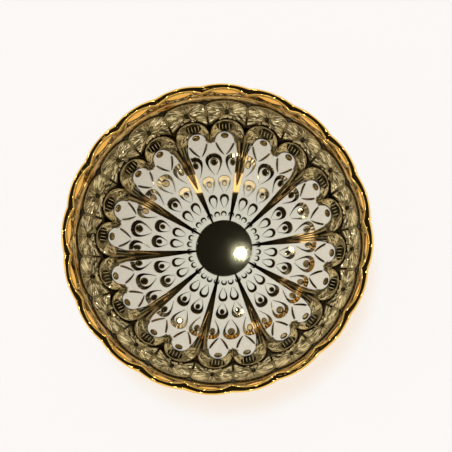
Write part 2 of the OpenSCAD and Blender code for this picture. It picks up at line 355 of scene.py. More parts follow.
def keptPlace(place):
    return splitPlace(readNode(place, "flatPlace")["Vector"])


# In each look smear has a scale and the roughness, and wave a scale, a strength and a height
goldDetail = {"smear": 4.0, "wave": 1.0}
whiteDetail = {"smear": 3.0, "wave": 2.0, "cloud": 4.0}


def surface(place, look, detail):
    smear, *roughness = look["smear"]
    wave, *bump = look["wave"]
    return {"Roughness": rangeNode(noiseNode(place, smear, detail["smear"]), *roughness),
            "Normal": bumpNode(noiseNode(place, wave, detail["wave"]), *bump)}


def makeGold(name, look, paintedShade=None):
    material, shader, place = newMaterial(name)
    # painted reflection: the tone attribute picks dark or pale gold
    if "tones" in look:
        tone = mathNode("ADD", readNode(place, "tone")["Fac"], cloudShift(place, look))
        colour = rampNode(tone, look["tones"])
    else:
        colour = cloudColour(place, look)
    if paintedShade:  # painted shade and dark reflection: darker bands, by the radius kept in flatPlace
        reach = mathNode("DIVIDE", keptPlace(place)[1], wallRadius)
        dark = rampNode(reach, [(sine(t), (share,) * 3) for t, share in paintedShade["bands"]])
        colour = mixNode(dark, colour, (*paintedShade["colour"], 1))
    feed(shader, {"Base Color": colour, "Metallic": look["metallic"]})
    feed(shader, surface(place, look, goldDetail))
    return material


# The lip is plain polished gold. In the channel under it each scallop holds a painted warm reflection, a
# bright patch with a painted dark line round it, and painted dark flecks of reflection in the gold below
def makeRimGold():
    look = {
        "deep": (0.92, 0.54, 0.11), "pale": (1.0, 0.67, 0.21), "cloudScale": 160,
        "smear": (700, 0.03, 0.07), "wave": (220, 0.1, 0.3 * mm), "inside": outerRadius - 2.4 * mm,
        "paintedGlow": (1.0, 0.53, 0.10), "glowMetal": 0.4, "glowRough": 0.3, "fade": 0.5 * mm, "line": 0.4 * mm,
        "glowFrom": seatZ + 2.2 * mm, "glowRise": 7.0 * mm, "glowTo": lipTop - 2.6 * mm,
        "paintedFleck": (0.05, 0.028, 0.008), "fleckScale": 900, "fleckEdge": (0.5, 0.56),
    }
    material, shader, place = newMaterial("rimGold")
    turn, radius, height = keptPlace(place)
    border = mathNode("MULTIPLY_ADD", sideSquared(turn, float(scallopCount)),
                      look["glowRise"], look["glowFrom"])
    above = mathNode("SUBTRACT", height, border)
    inside = mathNode("MULTIPLY", mathNode("LESS_THAN", radius, look["inside"]),
                      rangeNode(height, 1, 0, look["glowTo"] - look["fade"], look["glowTo"]))
    low, paintedGlow = (mathNode("MULTIPLY", inside, rangeNode(above, 1 - up, up, 0, look["fade"]))
                  for up in (0, 1))
    away = mathNode("ABSOLUTE", above)
    line = mathNode("MULTIPLY", inside, rangeNode(away, 1, 0, look["line"] / 2, look["line"]))
    paintedFlecks = rangeNode(noiseNode(place, look["fleckScale"]), 0, 1, *look["fleckEdge"])
    # painted dark reflection: the thin line round each glow patch and the flecks below it
    dark = mathNode("MAXIMUM", line, mathNode("MULTIPLY", low, paintedFlecks))
    colour = mixNode(paintedGlow, cloudColour(place, look), (*look["paintedGlow"], 1))
    skin = surface(place, look, goldDetail)
    feed(shader, {
        "Base Color": mixNode(dark, colour, (*look["paintedFleck"], 1)),
        "Metallic": rangeNode(paintedGlow, 1.0, look["glowMetal"], 0, 1), "Normal": skin["Normal"],
        "Roughness": mathNode("MULTIPLY_ADD", paintedGlow, look["glowRough"], skin["Roughness"])})
    return material


rimGold = makeRimGold()
# the feathers' dark to pale tones are painted reflections on the gold relief
featherGold = makeGold("featherGold", {
    "tones": [(0.0, (0.04, 0.03, 0.012)), (0.5, (0.48, 0.37, 0.18)), (1.0, (0.9, 0.72, 0.42))], "cloud": 0.12,
    "cloudScale": 200, "smear": (900, 0.05, 0.12), "wave": (260, 0.12, 0.2 * mm), "metallic": 1.0})
# the lining is painted dark round the mirror and from the panels' shoulders up: painted shade and dark
# reflection where it shows between the pieces
liningGold = makeGold("liningGold", {
    "deep": (0.93, 0.60, 0.20), "pale": (1.0, 0.70, 0.30),
    "cloudScale": 160, "smear": (700, 0.03, 0.08), "wave": (120, 0.08, 0.4 * mm), "metallic": 1.0}, {
    "bands": [(18, 0.9), (23, 0), (38, 0), (45, 1), (69, 1), (74, 0.8), (76.5, 0)],
    "colour": (0.035, 0.025, 0.01)})
darkMirror = makeGold("darkMirror", {
    "deep": (0.64, 0.59, 0.36), "pale": (0.72, 0.67, 0.42),
    "cloudScale": 90, "smear": (300, 0.05, 0.07), "wave": (60, 0.02, 0.2 * mm), "metallic": 1.0})
# near-black gold: painted dark reflection on the combs, painted shade on the spots between the scales
combGold = makeGold("combGold", {
    "deep": (0.02, 0.015, 0.006), "pale": (0.08, 0.06, 0.026),
    "cloudScale": 300, "smear": (900, 0.05, 0.1), "wave": (260, 0.1, 0.2 * mm), "metallic": 1.0})
hatchGold = makeGold("hatchGold", {
    "deep": (0.17, 0.13, 0.052), "pale": (0.52, 0.42, 0.21),
    "cloudScale": 420, "smear": (1500, 0.16, 0.3), "wave": (500, 0.4, 0.3 * mm), "metallic": 0.8})
# barbGold's dark to pale tones are painted reflections and glints on the strokes
barbGold = makeGold("barbGold", {
    "tones": [(0.0, (0.03, 0.024, 0.01)), (0.5, (0.52, 0.40, 0.17)), (1.0, (1.0, 0.84, 0.46))], "cloud": 0.1,
    "cloudScale": 500, "smear": (1800, 0.06, 0.16), "wave": (700, 0.3, 0.15 * mm), "metallic": 0.45})
quillGold = makeGold("quillGold", {
    "tones": [(0.0, (0.03, 0.02, 0.006)), (1.0, (1.0, 0.72, 0.34))], "cloud": 0.08,
    "cloudScale": 160, "smear": (700, 0.04, 0.1), "wave": (300, 0.1, 0.2 * mm), "metallic": 0.9})


def makeEnamel():
    look = {
        "cool": (0.86, 0.87, 0.76), "warm": (0.88, 0.84, 0.73), "coolTo": 14, "warmFrom": 44, "specular": 0.4,
        "cloudScale": 240, "cloud": 0.12, "smear": (900, 0.22, 0.36), "wave": (1100, 0.12, 0.1 * mm),
    }
    material, shader, place = newMaterial("whiteEnamel")
    climb = rangeNode(keptPlace(place)[0], 0, 1, look["coolTo"], look["warmFrom"])
    share = mathNode("ADD", climb, cloudShift(place, look))
    colour = rampNode(share, [(0.0, look["cool"]), (1.0, look["warm"])])
    feed(shader, {"Base Color": colour, "Specular IOR Level": look["specular"]})
    feed(shader, surface(place, look, whiteDetail))
    return material


glaze = {
    "deep": (0.80, 0.79, 0.755), "pale": (0.85, 0.845, 0.82), "cloudScale": 60,
    "smear": (500, 0.12, 0.22), "wave": (220, 0.15, 0.1 * mm), "coat": 0.35, "coatRough": 0.06,
}


def makeGlaze():
    material, shader, place = newMaterial("porcelainGlaze")
    feed(shader, {"Base Color": cloudColour(place, glaze, whiteDetail["cloud"]),
                  "Coat Weight": glaze["coat"], "Coat Roughness": glaze["coatRough"]})
    feed(shader, surface(place, glaze, whiteDetail))
    return material


def makeFootFinish():  # glazed sides, and a dry resting face
    look = {
        "dry": [(0.35, (0.62, 0.55, 0.45)), (0.65, (0.74, 0.68, 0.58))], "roughness": (0.8, 0.18),
        "glazed": (0.6 * mm, 1.1 * mm), "cloud": 0.25 * mm, "cloudScale": 400,
        "grain": (2600, 5.0, 0.7), "bump": (0.2, 0.1 * mm),
    }
    material, shader, place = newMaterial("footPorcelain")
    height = mathNode("ADD", splitPlace(place)[2], cloudShift(place, look))
    glazed = rangeNode(height, 0, 1, *look["glazed"])
    grain = noiseNode(place, *look["grain"])
    shine = cloudColour(place, glaze, whiteDetail["cloud"])
    feed(shader, {
        "Base Color": mixNode(glazed, rampNode(grain, look["dry"]), shine),
        "Roughness": rangeNode(glazed, *look["roughness"], 0, 1),
        "Normal": bumpNode(grain, *look["bump"])})
    return material


whiteEnamel = makeEnamel()
porcelainGlaze = makeGlaze()
footPorcelain = makeFootFinish()
print("materials made")

# Bowl and foot ring
turned = {"steps": 240, "inside": 48, "outside": 48, "footArc": 8}
foot = {"width": 3.6 * mm, "flare": 1.0 * mm, "bevel": 0.5 * mm, "round": 0.15 * mm}


def makeBowlBody():
    inside = [wallPoint(t) for t in spread(0, climbAt(seatZ, wallDepth), turned["inside"])]
    outside = [outsidePoint(t) for t in spread(climbAt(seatZ, outerDepth), 0, turned["outside"])]
    turnPlain("bowlBody", inside + outside, turned["steps"], porcelainGlaze, ["bowl_body"])


def makeFootRing():
    out = footBox[1].x - foot["flare"]
    inner = out - foot["width"]
    bevel, soft = foot["bevel"], foot["round"]
    top = [outsidePoint(t) for t in spread(climbOut(out + foot["flare"], outerRadius),
                                           climbOut(inner - foot["flare"], outerRadius), turned["footArc"])]
    ring = [(inner + bevel + soft, 0), (out - bevel - soft, 0), (out - bevel, soft / 3),
            (out - soft / 3, bevel), (out + soft / 3, bevel + soft)] + top + [
            (inner - soft / 3, bevel + soft), (inner + soft / 3, bevel), (inner + bevel, soft / 3)]
    turnPlain("footRing", ring, turned["steps"], footPorcelain, ["foot_ring"])


makeBowlBody()
makeFootRing()

# Scalloped rim
rim = {
    "lip": 2.9 * mm, "scallopOut": 0.75 * mm, "scallopIn": 1.8 * mm,
    "lipIn": 215, "lipOut": -35, "lipSteps": 28, "channelSteps": 8, "stepsPerScallop": 24,
}


def makeRim():
    lipHalf = rim["lip"] / 2
    lipZ = lipTop - lipHalf
    lipR = outerRadius - lipHalf - rim["scallopOut"] / 2

    def lipPoint(a):
        return lipR + lipHalf * cosine(a), lipZ + lipHalf * sine(a)

    section = []
    # inner channel from the seat up to the lip
    lowZ = lipPoint(rim["lipIn"])[1]
    for rise in spread(0, 1, rim["channelSteps"])[:-1]:
        z = mixed(seatZ, lowZ, rise)
        r = wallPoint(climbAt(z, wallDepth - goldTop), goldTop)[0]
        section.append((r, z, rim["scallopIn"] / 2 * rise * rise))
    for a in spread(rim["lipIn"], rim["lipOut"], rim["lipSteps"]):
        bend = (1 + cosine(a)) / 2
        section.append((*lipPoint(a), mixed(rim["scallopIn"], rim["scallopOut"], bend) / 2))
    # outer side back down to the seat
    seatR = outsidePoint(climbAt(seatZ, outerDepth))[0]
    lowR, lowZ, lowDepth = section[-1]
    for rise in spread(0, 1, rim["channelSteps"])[1:]:
        section.append((mixed(lowR, seatR, rise), mixed(lowZ, seatZ, rise), lowDepth * (1 - rise)))
    turnPiece("giltRim", section, scallopCount * rim["stepsPerScallop"], scallopCount, rimGold,
              ["gilt_rim"])


makeRim()

# Gold lining and centre mirror
mirror = {
    "radius": mirrorBox[1].x, "edge": 0.4 * mm, "edgeShare": 0.9, "dome": 0.3 * mm,
    "rim": (0.9985, 0.996), "face": 0.99, "rings": 20, "backRings": 6, "steps": 160,
}
lining = {"rings": 64, "steps": 320}
mirrorAngle = climbOut(mirror["radius"], wallRadius)


def mirrorHeight(t):
    return mirror["edge"] + mirror["dome"] * (1 - (t / mirrorAngle) ** 2)


def makeLining():
    low = [wallPoint(t) for t in spread(mirrorAngle, climbAt(seatZ, wallDepth), lining["rings"])]
    high = [wallPoint(t, goldTop)
            for t in spread(climbAt(seatZ, wallDepth - goldTop), mirrorAngle, lining["rings"])]
    turnPlain("goldLining", low + high, lining["steps"], liningGold, ["gold_lining"])


def makeMirror():
    low = [wallPoint(t) for t in spread(0, mirrorAngle, mirror["backRings"])]
    edge = [wallPoint(mirrorAngle, mirror["edge"] * mirror["edgeShare"])]
    climbs = [mirrorAngle * share for share in mirror["rim"]]
    climbs += spread(mirrorAngle * mirror["face"], 0, mirror["rings"])
    face = [wallPoint(t, mirrorHeight(t)) for t in climbs]
    turnPlain("centreMirror", low + edge + face, mirror["steps"], darkMirror, ["centre_medallion"])


makeLining()
makeMirror()


# Drawings on the wall, in degrees

def drop(s, low, high, half, tail):  # tail 0 is an ellipse, more draws its low end to a tip
    widest = 2 * ((tail + 1) / (tail + 2)) ** ((tail + 1) / 2) / math.sqrt(tail + 2)
    across = sine(s) * abs(sine(s / 2)) ** tail / widest
    return (low + high) / 2 - (high - low) / 2 * cosine(s), half * across


def addLoops(flat, loops, tones):  # closed loops joined one to the next, with a cap on both ends
    count = len(loops[0])
    last = (len(loops) - 1) * count
    faces = loopFaces(count, len(loops) - 1)
    faces += [tuple(range(count)), tuple(range(last + count - 1, last - 1, -1))]
    shades = [tone for tone, loop in zip(tones, loops) for p in loop]
    addPart(flat, [p for loop in loops for p in loop], faces, shades)


# Rows, in order: small horseshoes, horseshoes, lower eyes, middle eyes, tips
feather = {
    "half": [0.26, 0.29, 0.30, 0.31, 0.30], "place": [0.31, 0.37, 0.38, 0.74, 0.42],  # shares of a column
    "crown": [0.8, 1.3, 2.2, 2.1, 0.0],
    "spans": [(13.1, 15.5), (16.3, 22.7), (22.9, 30.9), (30.6, 41.4), (40.4, 52.3)],
    "tail": [0, 1, 1, 1, 0.4],
    "open": [45, 32, 32, 32, 18],
    "leg": [0.3, 0.3, 0.3, 0.3, 0.42],
    "stem": (1.1, 0.4), "stemFade": 1.6,  # width at both ends of a stem
    "edgeReach": 188,
    "steps": 42,
    # painted reflection: dark legs, paler crowns, pale stripes on the middle row's crowns
    "legTone": 0.16, "crownTone": [0.5, 0.5, 0.78, 0.5, 0.5], "crownFrom": 115, "crownFade": 20,
    "stripes": [0, 0, 0, 17, 0], "stripeTone": 0.36, "stripeBeat": 5,
    "section": [(0.0, 0.0), (0.02, 0.85), (0.06, 1.0), (0.1, 1.0), (0.9, 1.0), (0.94, 1.0), (0.98, 0.85),
                (1.0, 0.0)],
}
tipRow = 4
eye = {
    "rise": {2: 1.3, 3: 1.9, 4: 1.5}, "half": {2: 2.2, 3: 2.6, 4: 2.05}, "edgeShift": 0.65, "gap": 0.15,
    "spokes": 28, "rings": [(0.4, 0.99), (0.7, 0.96), (0.76, 0.94), (0.97, 0.62), (1.0, 0.0)],
    "tipTones": [1.0, 1.0, 0.95, 0.85, 0.08, 0.08, 0.08],  # middle of face and back, then the rings
}


def rowHalf(row):
    return feather["half"][row] * columnPitch


def rowPlace(row):
    return feather["place"][row] * columnPitch


def addCrescent(flat, row, middle, last=None, side=1):
    first = feather["open"][row]
    last = last or 360 - first
    low, high = feather["spans"][row]
    half, tail = rowHalf(row), feather["tail"][row]
    base, rise = enamelTop, reliefTop - enamelTop
    loops, tones = [], []
    for s in spread(first, last, feather["steps"]):
        out = drop(s, low, high, half, tail)
        leg = feather["leg"][row]
        if row == tipRow:  # stems thin out upwards
            leg *= mixed(*feather["stem"], ((s - first) / (last - first)) ** feather["stemFade"])
        inner = drop(s, low, high - feather["crown"][row], half * (1 - leg), tail)
        # painted reflection: each loop's tone, dark on the legs and paler, with stripes, on the crowns
        crown = max(0, min(1, (min(s, 360 - s) - feather["crownFrom"]) / feather["crownFade"]))
        beat = 1 + math.sin(s * deg * feather["stripeBeat"] + middle)
        stripe = feather["stripeTone"] * math.sin(s * deg * feather["stripes"][row]) * beat
        tones.append(mixed(feather["legTone"], feather["crownTone"][row] + stripe, crown))
        loops.append([(mixed(out[0], inner[0], w), middle + side * mixed(out[1], inner[1], w),
                       base + rise * lift) for w, lift in feather["section"]])
    addLoops(flat, loops, tones)


def addDome(flat, t, middle, rise, half, base, height, tones=None):
    verts = [(t, middle, base + height), (t, middle, base)]
    spokes = eye["spokes"]
    for share, lift in eye["rings"]:
        verts += [(t + rise * share * math.cos(i * 2 * math.pi / spokes),
                   middle + half * share * math.sin(i * 2 * math.pi / spokes), base + height * lift)
                  for i in range(spokes)]
    faces = []
    for i in range(spokes):
        j = (i + 1) % spokes
        faces.append((0, 2 + i, 2 + j))
        for ring in range(len(eye["rings"]) - 1):
            a = 2 + ring * spokes
            faces.append((a + i, a + spokes + i, a + spokes + j, a + j))
        a = 2 + (len(eye["rings"]) - 1) * spokes
        faces.append((1, a + j, a + i))
    shades = tones[:2] + [tone for tone in tones[2:] for i in range(spokes)] if tones else None
    addPart(flat, verts, faces, shades)


def addEye(flat, row, middle, top=None, narrower=0.0, tones=None):
    top = top or feather["spans"][row][1] - feather["crown"][row]
    rise = eye["rise"][row]
    addDome(flat, top - eye["gap"] - rise, middle, rise, eye["half"][row] - narrower,
            enamelTop, reliefTop - enamelTop, tones)


# White panels
panel = {
    "shoulder": 46.8, "tipRise": 5.5, "gap": 0.3 * mm, "wedgeIn": 0.7 * mm, "wedgeTaper": 0.14,
    "across": 60, "along": 44, "edge": 0.006,
}
panelFoot = climbOut(mirror["radius"] + panel["gap"], wallRadius)
tipTop = panel["shoulder"] + panel["tipRise"]


def panelTop(phi):
    share = (abs(phi) - rowPlace(tipRow)) / rowHalf(tipRow)
    return panel["shoulder"] + panel["tipRise"] * math.sqrt(max(0, 1 - share * share))


def wedgeHalf(t):  # half the width of the gold wedge, in degrees
    r, start = wallPoint(t, goldTop)[0], wallPoint(panelFoot, goldTop)[0]
    return climbOut((panel["wedgeIn"] + panel["wedgeTaper"] * (r - start)) / 2, r)


def edgedShares(count, edge):  # 0 to 1 with two close lines along both ends
    return [0, edge / 2] + spread(edge, 1 - edge, count) + [1 - edge / 2, 1]


def addSheet(flat, place, shape, base, top, pillow=0.0):
    us, vs = edgedShares(shape["across"], shape["edge"]), edgedShares(shape["along"], shape["edge"])
    lifts = {0: 0.0, 1: 0.75}  # rounds the border
    nu, nv = len(us), len(vs)
    verts, index = [], {}
    for side in (1, 0):  # the face, then the back that shares its border
        for i, u in enumerate(us):
            for j, v in enumerate(vs):
                border = min(i, j, nu - 1 - i, nv - 1 - j)
                if side == 0 and border == 0:
                    index[side, i, j] = index[1, i, j]
                    continue
                t, phi = place(u, v)
                bulge = pillow * 16 * u * (1 - u) * v * (1 - v)  # a full pillow in the middle
                h = base + side * ((top - base) * lifts.get(border, 1.0) + bulge)
                index[side, i, j] = len(verts)
                verts.append((t, phi, h))
    faces = []
    for i in range(nu - 1):
        for j in range(nv - 1):
            corners = [(i, j), (i, j + 1), (i + 1, j + 1), (i + 1, j)]
            faces.append([index[(1, *c)] for c in corners])
            faces.append([index[(0, *c)] for c in reversed(corners)])
    addPart(flat, verts, faces)


def makePanels():
    flat = newFlat()
    sideEnd = columnPitch - wedgeHalf(panel["shoulder"])

    def place(u, v):
        share = 2 * u - 1
        t = mixed(panelFoot, panelTop(share * sideEnd), v)
        return t, share * (columnPitch - wedgeHalf(min(t, panel["shoulder"])))

    addSheet(flat, place, panel, goldTop, enamelTop)
    names = ["white_panel_%02d" % i for i in range(1, panelCount + 1)]
    drapePiece("whitePanels", flat, whiteEnamel, names)


makePanels()


# Gold feathers on the panels
def makeFeathers():
    small, shoes, lower, middle, tips = (newFlat() for row in range(5))
    wedgeEnd = wedgeHalf(feather["spans"][0][1])
    reach = 180 - climbOut(wedgeEnd + eye["gap"], rowHalf(0))
    low, high = feather["spans"][tipRow]
    stemEnd = math.acos(((low + high) / 2 - panel["shoulder"] + eye["gap"]) / ((high - low) / 2)) / deg
    for side in (-1, 1):
        addCrescent(small, 0, side * rowPlace(0))
        addCrescent(small, 0, side * columnPitch, reach, -side)
        addCrescent(shoes, 1, side * rowPlace(1))
        addCrescent(lower, 2, side * rowPlace(2))
        addEye(lower, 2, side * rowPlace(2))
        addCrescent(middle, 3, side * rowPlace(3), feather["edgeReach"], -side)
        addEye(middle, 3, side * (rowPlace(3) - eye["edgeShift"]), narrower=eye["edgeShift"])
        for edge in (-1, 1):
            addCrescent(tips, tipRow, side * rowPlace(tipRow), stemEnd, edge)
        addEye(tips, tipRow, side * rowPlace(tipRow), tipTop - eye["gap"], tones=eye["tipTones"])
    addCrescent(middle, 3, 0)
    addEye(middle, 3, 0)
    for name, flat, node in (
            ("smallHorseshoes", small, "small_horseshoe_row"), ("horseshoes", shoes, "horseshoe_row"),
            ("lowerEyes", lower, "lower_eyes"), ("middleEyes", middle, "middle_eyes"),
            ("tipFeathers", tips, "tip_feathers")):
        drapePiece(name, flat, featherGold, [node])


makeFeathers()

# Scales round the panels
scales = {
    "innerFoot": 51.0, "innerTop": 60.0, "archFoot": 57.0, "archPoint": 66.4,
    "outerNotch": 70.4, "outerTop": 75.0, "archBow": 0.6, "gap": 0.6,
    "across": 30, "along": 10, "edge": 0.02, "pillow": 0.12 * mm,
}
outerHalf = columnPitch / 2 - scales["gap"] / 2
innerHalf = columnPitch / 2 - scales["gap"]


def outerLow(phi):
    share = min(1, abs(phi) / outerHalf)
    return scales["archPoint"] - (scales["archPoint"] - scales["archFoot"]) * share ** scales["archBow"]


def roundTop(foot, top, share):
    return foot + (top - foot) * math.sqrt(1 - min(1, share) ** 2)


def outerHigh(phi):
    return roundTop(scales["outerNotch"], scales["outerTop"], abs(phi) / outerHalf)


def innerLow(phi):
    return panelTop(columnPitch / 2 + phi) + scales["gap"]


def innerHigh(phi):
    return roundTop(scales["innerFoot"], scales["innerTop"], abs(phi) / innerHalf)


def bandPlace(low, high, half, middle, side=1):
    def place(u, v):
        phi = (2 * u - 1) * half
        return mixed(low(phi), high(phi), v), middle + side * phi
    return place


def makeScales():
    outer, inner = newFlat(), newFlat()
    for side in (-1, 1):
        middle = side * columnPitch / 2
        for flat, place in ((outer, bandPlace(outerLow, outerHigh, outerHalf, middle)),
                            (inner, bandPlace(innerLow, innerHigh, innerHalf, middle, side))):
            addSheet(flat, place, scales, goldTop, scaleTop, scales["pillow"])
    drapePiece("outerScales", outer, hatchGold, ["outer_scales"])
    drapePiece("innerScales", inner, hatchGold, ["inner_scales"])


makeScales()

# Strokes of fine barbs on the scales and in the arches, some of them dark and some pale: painted reflections
# and glints
barb = {
    "seed": 11, "steps": 5, "width": (0.4 * mm, 0.9 * mm), "widthVary": (0.75, 1.3), "crest": (-0.6, 0.6),
    "height": (0.2 * mm, 0.42 * mm), "thin": 0.25,
    "section": [(-1.0, 0.0), (-0.6, 0.7), (0.0, 1.0), (0.6, 0.7), (1.0, 0.0)],
    "tones": [0.05, 0.14, 0.42, 0.68, 0.9, 1.0, 1.0], "innerTones": [0.05, 0.14, 0.62, 1.0, 1.0, 1.0],
}
shell = {
    "fan": 60, "fanReach": 82, "fanFrom": (0.12, 0.62), "fanLength": (0.3, 0.5), "fanTo": 0.98,
    "fanBend": 1.3, "foot": 84, "footFrom": (0.05, 1), "footBend": 0.6, "footShare": 0.82,
    "footLength": (0.15, 0.35), "footTo": 0.97, "footDepth": (0.04, 0.96), "pointGap": 0.3, "gap": 0.5,
}
plate = {
    "count": 84, "from": (-0.97, 0.7), "length": (0.14, 0.3), "depth": (0.12, 0.9), "slant": (-0.25, 0.25),
    "low": 0.1, "high": 0.92, "combClear": 1.15,
}
arch = {
    "count": 20, "from": (-0.42, 0.2), "length": (0.15, 0.25), "clear": 1.3, "height": (0.35 * mm, 0.6 * mm),
}
edging = {
    "width": 0.4 * mm, "height": 0.25 * mm, "sink": 0.05 * mm, "inset": 0.25, "turn": 84, "tone": 0.5,
    "steps": 26, "seamWidth": 1.0 * mm, "seamHeight": 0.65 * mm, "seamFrom": 62.0, "seamTone": 0.4,
}
# painted shade: near-black domes under each arch's point and at the notches between the outer scales
shadeSpot = {
    "drop": 0.8, "rise": 2.2, "half": 1.1, "top": 1.15 * mm,
    "spotAt": 72.6, "spotRise": 2.6, "spotHalf": 2.1, "spotTop": 0.5 * mm,
}


def degreeLengths(t):  # lengths of a degree up the wall and round it
    up = math.hypot(wallRadius * cosine(t), wallDepth * sine(t)) * deg
    return up, wallRadius * sine(t) * deg


def pathWay(first, last, t):
    up, across = degreeLengths(t)
    return Vector(((last[0] - first[0]) * up, (last[1] - first[1]) * across)).normalized()


# A thin ridge along a path of (t, phi) points, with a width that swells and fades; crest is the place
# of a sharp top
def addRidge(flat, path, width, base, height, taper=True, crest=None, tone=0.5):
    section = barb["section"] if crest is None else [(-1.0, 0.0), (crest, 1.0), (1.0, 0.0)]
    loops = []
    last = len(path) - 1
    for i, (t, phi) in enumerate(path):
        along = pathWay(path[max(0, i - 1)], path[min(last, i + 1)], t)
        up, across = degreeLengths(t)
        swell = mixed(barb["thin"], 1, math.sin(math.pi * (i + 0.5) / (last + 1))) if taper else 1.0
        half = width / 2 * swell
        dt, dphi = -along.y * half / up, along.x * half / across
        loops.append([(t + w * dt, phi + w * dphi, base + height * swell * lift) for w, lift in section])
    addLoops(flat, loops, [tone] * len(loops))


# One stroke along place(share), wider where it runs round the bowl, because it is seen at a slant there
def addStroke(flat, place, base, height, tones, rng):
    path = [place(share) for share in spread(0, 1, barb["steps"])]
    slant = abs(pathWay(path[0], path[-1], path[0][0]).y)
    width = mixed(*barb["width"], slant) * rng.uniform(*barb["widthVary"])
    addRidge(flat, path, width, base, rng.uniform(*height), crest=rng.uniform(*barb["crest"]),
             tone=rng.choice(tones))


def addShell(flat, middle, side, rng):  # strokes that fan out from the arch's point, and down both feet
    point = scales["archPoint"] + shell["pointGap"]
    sideTop = outerHigh(outerHalf * sine(shell["fanReach"]))
    for i in range(shell["fan"]):
        a = mixed(-shell["fanReach"], shell["fanReach"], (i + rng.uniform(0, 1)) / shell["fan"])
        endPhi = outerHalf * sine(a)
        endT = outerHigh(endPhi) - shell["gap"]
        first = rng.uniform(*shell["fanFrom"])
        last = min(shell["fanTo"], first + rng.uniform(*shell["fanLength"]))

        def rayPlace(share):
            k = mixed(first, last, share)
            return mixed(point, endT, k), middle + side * endPhi * k ** shell["fanBend"]

        addStroke(flat, rayPlace, scaleTop, barb["height"], barb["tones"], rng)
    for i in range(shell["foot"]):
        sign = 1 if i % 2 else -1
        first = rng.uniform(*shell["footFrom"]) ** shell["footBend"] * shell["footShare"]
        last = min(shell["footTo"], first + rng.uniform(*shell["footLength"]))
        depth = rng.uniform(*shell["footDepth"])

        def footPlace(share):
            k = mixed(first, last, share)
            low = outerLow(outerHalf * k) + shell["gap"]
            return mixed(low, mixed(point, sideTop, k), depth), middle + side * sign * outerHalf * k

        addStroke(flat, footPlace, scaleTop, barb["height"], barb["tones"], rng)


def addFrame(flat, middle, side, rng):  # strokes that follow the plate round a feather tip, clear of its comb
    made = 0
    while made < plate["count"]:
        first = rng.uniform(*plate["from"])
        last = first + rng.uniform(*plate["length"])
        depth, slant = rng.uniform(*plate["depth"]), rng.uniform(*plate["slant"])

        def place(share):
            phi = innerHalf * mixed(first, last, share)
            rise = max(plate["low"], min(plate["high"], depth + slant * (share - 0.5)))
            return mixed(innerLow(phi), innerHigh(phi), rise), middle + side * phi

        spots = [place(share) for share in (0, 0.5, 1)]
        reaches = [((t - comb["at"]) / comb["rise"]) ** 2 + ((phi - middle) / comb["half"]) ** 2
                   for t, phi in spots]
        if min(reaches) < plate["combClear"]:
            continue
        addStroke(flat, place, scaleTop, barb["height"], barb["innerTones"], rng)
        made += 1


def addArchFill(flat, middle, side, rng):  # strokes in the arch between the two rows of scales
    for i in range(arch["count"]):
        first = rng.uniform(*arch["from"])
        last = first + rng.uniform(*arch["length"])
        depth = rng.uniform(0, 1)

        def place(share):
            phi = outerHalf * mixed(first, last, share)
            return (mixed(innerHigh(phi) + arch["clear"], outerLow(phi) - arch["clear"], depth),
                    middle + side * phi)

        addStroke(flat, place, goldTop, arch["height"], barb["innerTones"], rng)


def makeBarbs():
    rng = random.Random(barb["seed"])
    outer, inner, edges, shadeSpots = (newFlat() for piece in range(4))
    turns = [sine(a) for a in spread(-edging["turn"], edging["turn"], edging["steps"])]
    for side in (-1, 1):
        middle = side * columnPitch / 2
        addShell(outer, middle, side, rng)
        addFrame(inner, middle, side, rng)
        addArchFill(outer, middle, side, rng)
        # painted shade: a dark dome in the arch, under its point
        shadeSpotAt = scales["archPoint"] - shadeSpot["drop"]
        addDome(shadeSpots, shadeSpotAt, middle, shadeSpot["rise"], shadeSpot["half"], 0.0, shadeSpot["top"])
        for high, half in ((outerHigh, outerHalf), (innerHigh, innerHalf)):
            path = [(high(half * s) - edging["inset"], middle + side * half * s) for s in turns]
            addRidge(edges, path, edging["width"], scaleTop - edging["sink"], edging["height"], False,
                     tone=edging["tone"])
    for phi in (0, columnPitch):
        path = [(t, phi) for t in spread(edging["seamFrom"], scales["outerNotch"], barb["steps"])]
        addRidge(edges, path, edging["seamWidth"], goldTop, edging["seamHeight"],
                 tone=edging["seamTone"])
        addDome(shadeSpots, shadeSpot["spotAt"], phi, shadeSpot["spotRise"], shadeSpot["spotHalf"], 0.0, shadeSpot["spotTop"])
    drapePiece("outerBarbs", outer, barbGold, smooth=False)
    drapePiece("innerBarbs", inner, barbGold, smooth=False)
    drapePiece("scaleEdging", edges, barbGold)
    drapePiece("scaleKnots", shadeSpots, combGold)


# Quills in the wedges, long barbs where a wedge runs out, and short ones in the notch between two tips
wedge = {
    # the quills' second numbers are tones, pale and dark in turn: painted reflections
    "quills": [(-0.66, 0.9), (-0.22, 0.05), (0.22, 0.8), (0.66, 0.1)], "low": 26.5, "high": 46.0, "openBy": 9,
    "bend": 0.6, "lean": 0.5, "width": 0.6 * mm, "height": 0.3 * mm, "steps": 14,
}
fan = {
    "drop": 2.0, "rise": 0.8 * mm, "riseVary": (0.85, 1.1), "width": 0.6 * mm, "crest": (-0.5, 0.5),
    "spread": 6.5, "from": 41.0, "near": 0.8, "notchSpread": 4.0,
    # painted reflection: the barbs' tones, most of them dark and some pale
    "tones": [0.0, 0.0, 0.04, 0.1, 0.7, 1.0, 1.0],
    "long": {"count": 17, "low": 38.0, "lowVary": 6, "high": 53.0, "highVary": 2.5, "steps": 7},
    "short": {"count": 9, "low": 45.5, "lowVary": 3, "high": 52.5, "highVary": 2, "steps": 5},
}


def longHalf(t, share):
    parted = max(0, (t - fan["from"]) / (fan["long"]["high"] - fan["from"]))
    return mixed(fan["near"] * wedgeHalf(min(t, panel["shoulder"])), fan["spread"], parted)


def shortHalf(t, share):
    return fan["notchSpread"] * share


